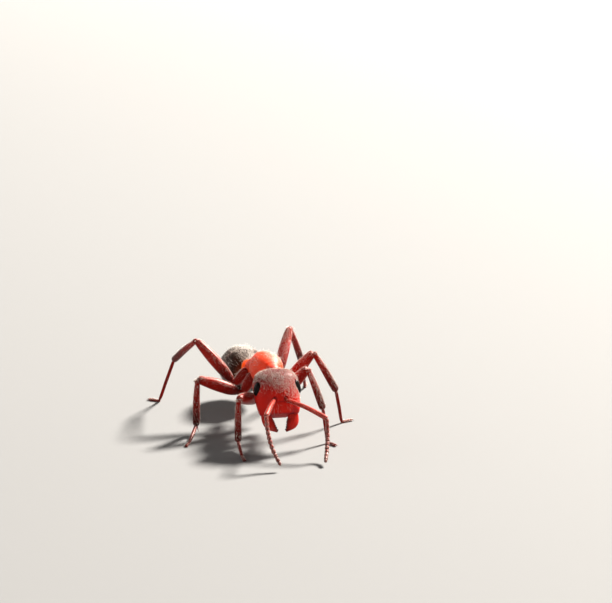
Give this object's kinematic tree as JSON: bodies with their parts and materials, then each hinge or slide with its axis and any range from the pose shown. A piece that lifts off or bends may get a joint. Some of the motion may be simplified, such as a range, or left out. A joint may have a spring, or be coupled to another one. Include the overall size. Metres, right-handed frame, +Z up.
{
  "type": "red wood ant worker",
  "caption": "Life-size still model of a red wood ant worker standing on its six feet, head lowered, antennae forward.",
  "frame": {"origin": "centre of the bounding box on the ground plane, level with the soles of the feet", "axes": "+Z up; the ant faces -Y; its left side is +X"},
  "size_m": [0.0078, 0.0112, 0.0037],
  "materials": {
    "red_shell": "glossy translucent red chitin with fine pubescence",
    "dark_shell": "glossy dark red chitin, edges darker",
    "leg_shell": "glossy dark red chitin with short bristles",
    "black_shell": "black-brown chitin under fine pale hair",
    "eye": "black faceted compound eye"
  },
  "bodies": {
    "root": {"head": "red_shell", "thorax": "red_shell", "petiole": "red_shell", "gaster": "black_shell", "eye_left": "eye", "mandible_left": "dark_shell", "antenna_left": "dark_shell", "leg_left_fore": "leg_shell", "leg_left_mid": "leg_shell", "leg_left_hind": "leg_shell", "eye_right": "eye", "mandible_right": "dark_shell", "antenna_right": "dark_shell", "leg_right_fore": "leg_shell", "leg_right_mid": "leg_shell", "leg_right_hind": "leg_shell"}
  },
  "joints": []
}
